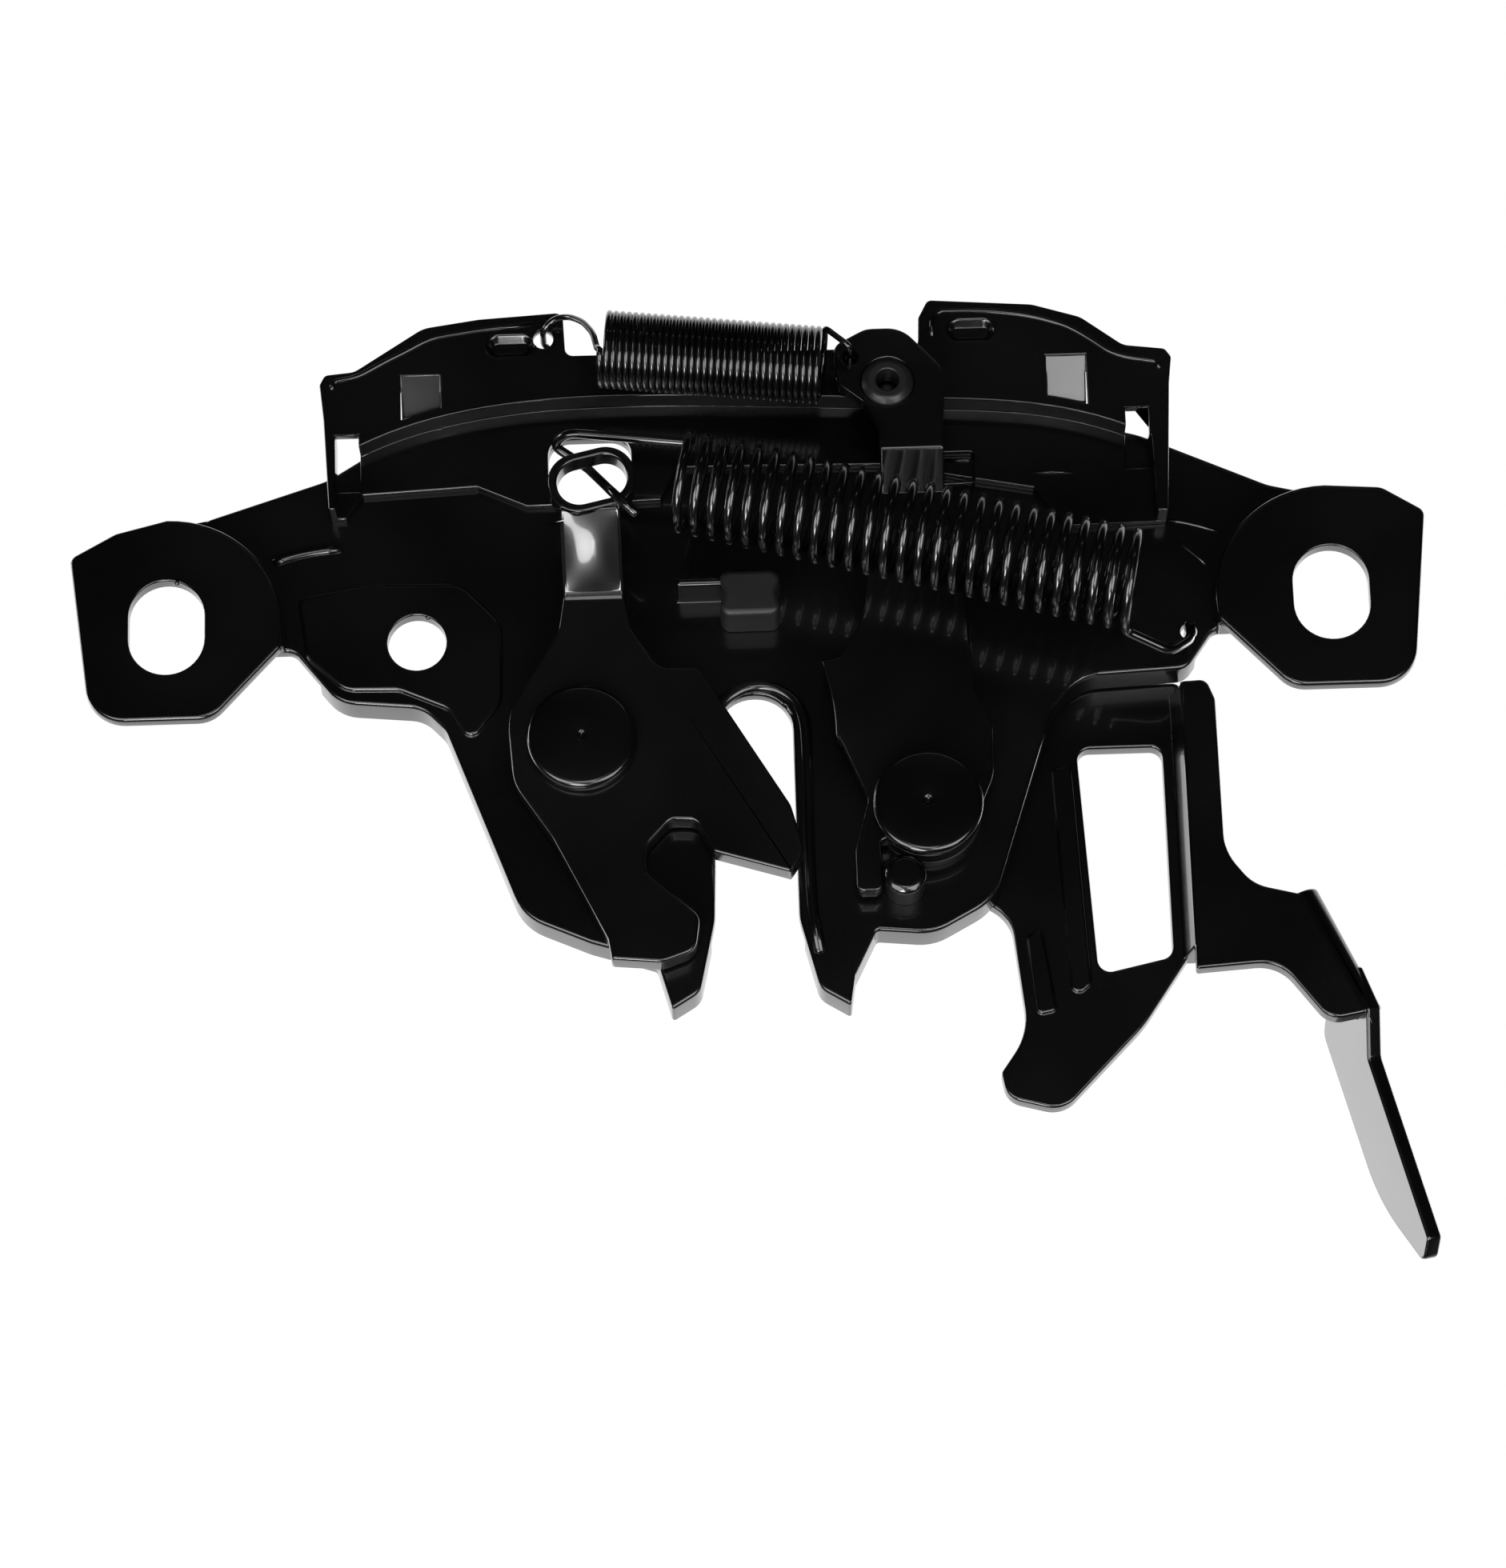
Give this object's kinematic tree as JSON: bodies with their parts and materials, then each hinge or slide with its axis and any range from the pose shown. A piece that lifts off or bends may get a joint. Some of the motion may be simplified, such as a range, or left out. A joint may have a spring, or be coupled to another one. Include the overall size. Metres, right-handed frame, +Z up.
{
  "type": "hood latch",
  "caption": "Vehicle hood latch: stamped plate with oblong mounting holes, rotating claw, pawl, extension springs and a safety lever with finger handle.",
  "frame": {"origin": "midway between the two oblong mounting holes, on the rear face of the mounting pads", "axes": "+X to the right as seen from the front, +Y rearwards out of the mounting faces, +Z up in the pose of the picture, with the striker slot opening down"},
  "size_m": [0.2008, 0.0348, 0.1478],
  "materials": {
    "plate_paint": "gloss black paint",
    "bracket_paint": "gloss black paint",
    "claw_paint": "gloss black paint",
    "pawl_paint": "gloss black paint",
    "lever_paint": "gloss black paint",
    "rivet_paint": "gloss black paint over steel",
    "washer_steel": "blackened steel",
    "spring_wire": "black coated spring wire",
    "buffer_rubber": "satin black rubber",
    "bush_plastic": "black moulded plastic"
  },
  "bodies": {
    "frame": {"base_plate": "plate_paint", "top_bracket": "bracket_paint", "claw_rivet": "rivet_paint", "pawl_rivet": "rivet_paint", "claw_front_washer": "washer_steel", "claw_rear_washer": "washer_steel", "pawl_front_washer": "washer_steel", "pawl_rear_washer": "washer_steel", "lever_bush": "washer_steel", "lever_washer": "washer_steel", "main_spring": "spring_wire", "pawl_spring": "spring_wire", "lever_spring": "spring_wire", "stop_buffer": "buffer_rubber", "stop_pin": "rivet_paint", "stop_sleeve": "bush_plastic"},
    "claw": {"claw": "claw_paint"},
    "pawl": {"pawl": "pawl_paint", "cable_bush": "bush_plastic"},
    "safety_lever": {"safety_lever": "lever_paint"}
  },
  "joints": [
    {"name": "claw_pivot", "type": "hinge", "parent": "frame", "child": "claw", "pos_m": [-0.025, 0, -0.0197], "axis": [0, -1, 0], "range_deg": [0, 50], "stiffness_Nm_per_rad": 0.35, "springref_deg": -34.38, "deforming": ["main_spring"]},
    {"name": "pawl_pivot", "type": "hinge", "parent": "frame", "child": "pawl", "pos_m": [0.0252, 0, -0.0315], "axis": [0, 1, 0], "range_deg": [0, 12], "stiffness_Nm_per_rad": 0.3, "springref_deg": -22.92, "deforming": ["pawl_spring"]},
    {"name": "safety_lever_pivot", "type": "hinge", "parent": "frame", "child": "safety_lever", "pos_m": [0.0252, 0.0105, -0.0315], "axis": [0, 1, 0], "range_deg": [0, 22], "stiffness_Nm_per_rad": 0.25, "springref_deg": -34.38, "deforming": ["lever_spring"]}
  ]
}
